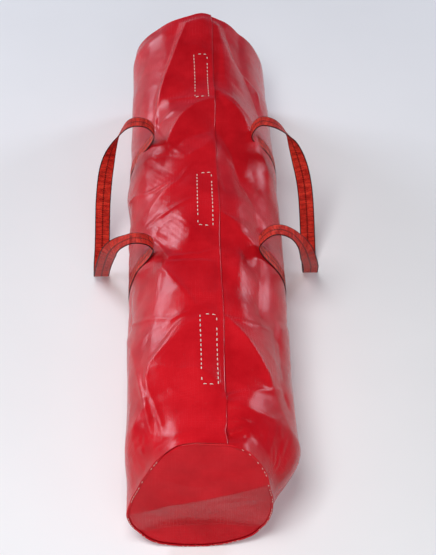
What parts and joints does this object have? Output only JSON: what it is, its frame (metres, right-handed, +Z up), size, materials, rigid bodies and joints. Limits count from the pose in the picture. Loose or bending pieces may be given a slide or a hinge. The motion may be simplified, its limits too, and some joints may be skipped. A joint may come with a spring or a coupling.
{
  "type": "agility tunnel carry bag",
  "caption": "Long red coated-fabric carry bag for a dog agility tunnel, with a lap closure along the top, hook and loop tapes and a webbing handle on each side.",
  "frame": {"origin": "centre of the bag's resting footprint, on the floor", "axes": "+Y along the bag towards its far end, +Z up, +X to the right, the side that the outer flap's free edge points to"},
  "size_m": [0.372, 1.0308, 0.2231],
  "materials": {
    "red_coated_fabric": "glossy PVC-coated polyester",
    "red_webbing": "woven polyester with black edges",
    "hook_and_loop": "matte hook and loop tape",
    "white_thread": "sewing thread",
    "red_thread": "sewing thread",
    "black_thread": "sewing thread"
  },
  "bodies": {
    "bag": {"body_sheet": "red_coated_fabric", "near_end_panel": "red_coated_fabric", "far_end_panel": "red_coated_fabric", "near_girth_strap": "red_webbing", "far_girth_strap": "red_webbing", "near_strap_stitching": "black_thread", "far_strap_stitching": "black_thread", "near_end_stitching": "red_thread", "far_end_stitching": "red_thread", "left_near_arch": "red_webbing", "left_far_arch": "red_webbing", "right_near_arch": "red_webbing", "right_far_arch": "red_webbing"},
    "outer_flap": {"outer_flap": "red_coated_fabric", "outer_flap_hem": "red_coated_fabric", "hook_tape_near": "hook_and_loop", "hook_tape_middle": "hook_and_loop", "hook_tape_far": "hook_and_loop", "tape_stitching_near": "white_thread", "tape_stitching_middle": "white_thread", "tape_stitching_far": "white_thread"},
    "inner_flap": {"inner_flap": "red_coated_fabric", "loop_tape_near": "hook_and_loop", "loop_tape_middle": "hook_and_loop", "loop_tape_far": "hook_and_loop"},
    "left_handle": {"left_handle": "red_webbing"},
    "right_handle": {"right_handle": "red_webbing"}
  },
  "joints": [
    {"name": "outer_flap_fold", "type": "hinge", "parent": "bag", "child": "outer_flap", "pos_m": [-0.07, 0, 0.19104], "axis": [0, -1, 0], "range_deg": [0, 75]},
    {"name": "inner_flap_fold", "type": "hinge", "parent": "bag", "child": "inner_flap", "pos_m": [0.04, 0, 0.20456], "axis": [0, 1, 0], "range_deg": [0, 52.5]},
    {"name": "left_handle_swing", "type": "hinge", "parent": "bag", "child": "left_handle", "pos_m": [-0.105, 0.036, 0.222], "axis": [0, 1, 0], "range_deg": [0, 150]},
    {"name": "right_handle_swing", "type": "hinge", "parent": "bag", "child": "right_handle", "pos_m": [0.105, 0.036, 0.222], "axis": [0, -1, 0], "range_deg": [0, 150]}
  ],
  "couplings": [
    {"joint": "inner_flap_fold", "follows": "outer_flap_fold", "ratio": 0.7}
  ]
}
